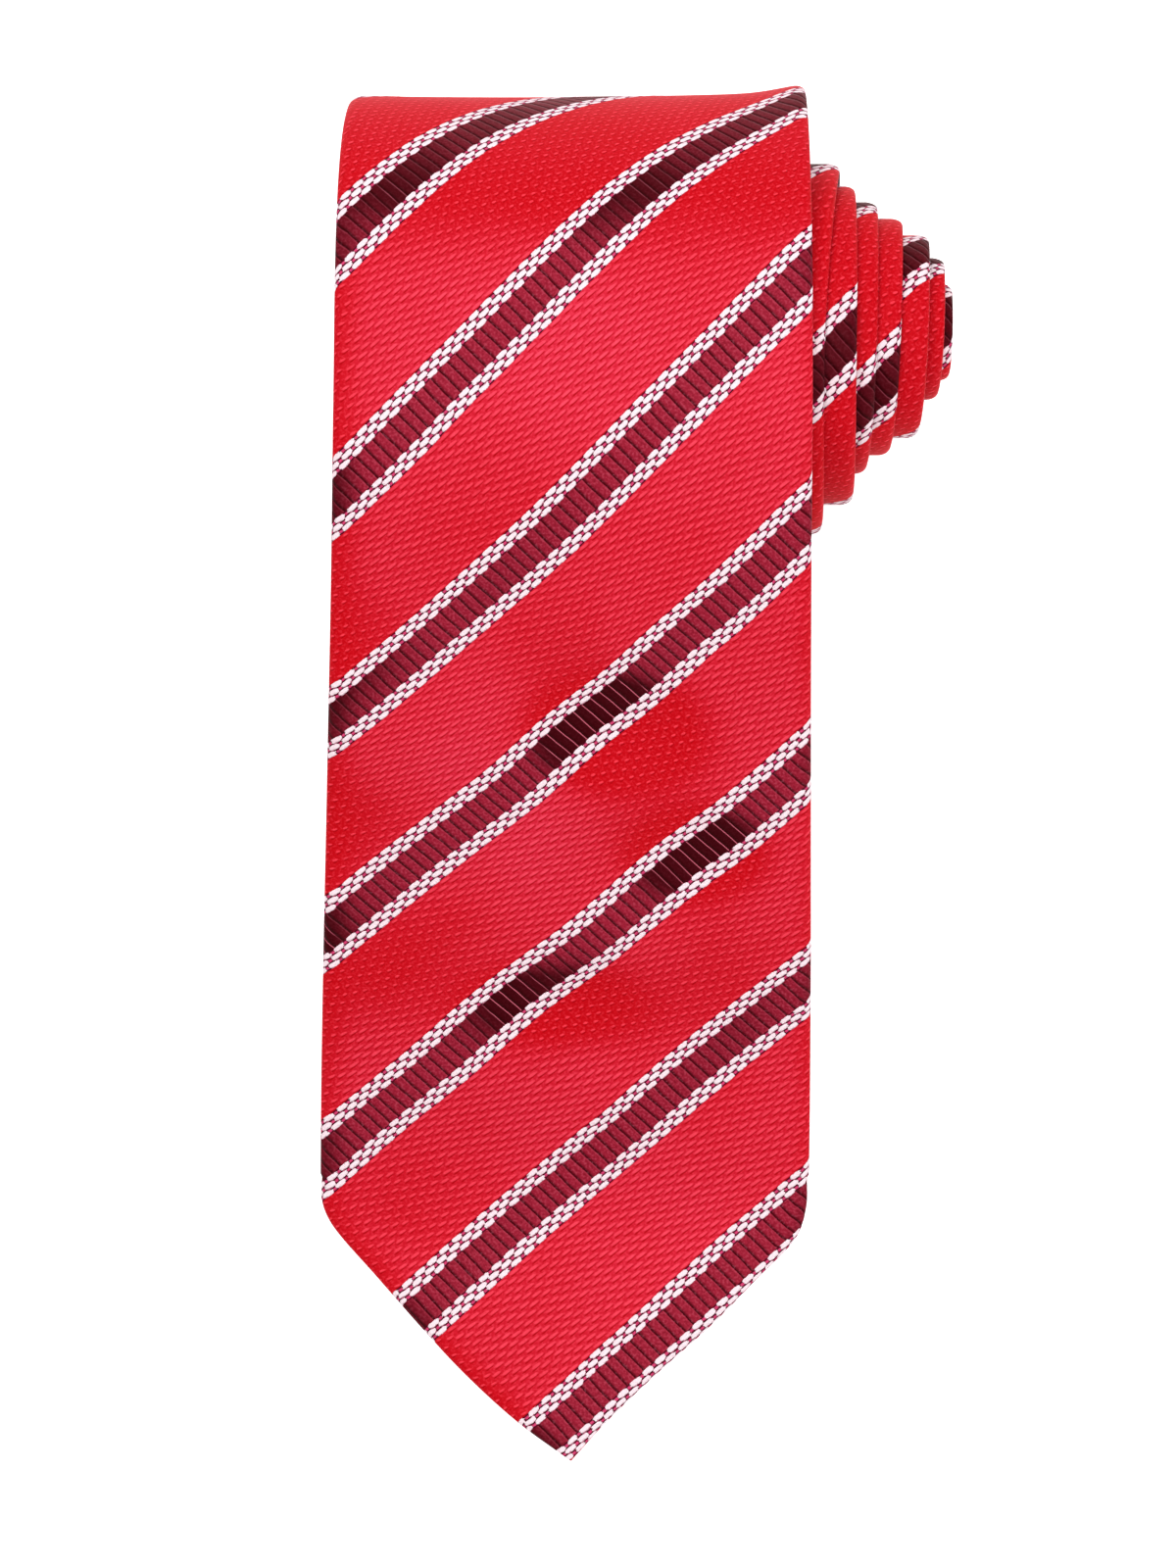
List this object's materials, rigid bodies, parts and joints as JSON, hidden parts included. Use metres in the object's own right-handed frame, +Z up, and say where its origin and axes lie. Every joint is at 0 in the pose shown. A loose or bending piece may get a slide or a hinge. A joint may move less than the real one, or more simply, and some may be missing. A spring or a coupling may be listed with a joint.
{
  "type": "necktie",
  "caption": "Wide-bladed woven necktie, rolled up behind its own front blade, with the blade running down to a flat point on the surface.",
  "frame": {"origin": "centre of the bounding box's base, on the surface the tie lies on", "axes": "+Z up from the surface; +Y along the tie from its front point towards the roll; +X across it, to the side on which the inner turns stand out"},
  "size_m": [0.1143, 0.2482, 0.0738],
  "materials": {
    "silk_shell": "woven silk with a soft sheen",
    "canvas": "matt brushed wool canvas",
    "lining": "smooth satin lining",
    "thread": "twisted silk thread",
    "label": "plain woven ribbon",
    "care_label": "plain satin ribbon"
  },
  "bodies": {
    "roll": {"front_shell_wrap": "silk_shell", "neck_shell": "silk_shell", "tail_shell": "silk_shell", "interlining_wrap": "canvas", "interlining_tail": "canvas", "tail_tipping": "lining", "front_join_seam": "silk_shell", "tail_join_seam": "silk_shell", "slip_stitch_roll": "thread", "tail_bar_tack": "thread"},
    "blade": {"front_shell_blade": "silk_shell", "interlining_blade": "canvas", "front_tipping": "lining", "slip_stitch_blade": "thread", "front_bar_tack": "thread", "maker_label": "label", "label_stitch_left": "thread", "label_stitch_right": "thread", "care_label": "care_label", "keeper_loop": "silk_shell", "keeper_tack_left": "thread", "keeper_tack_right": "thread"}
  },
  "joints": [
    {"name": "blade_lift", "type": "hinge", "parent": "roll", "child": "blade", "pos_m": [-0.01, 0.0668, 0.0738], "axis": [-1, 0, 0], "range_deg": [0, 75]}
  ]
}
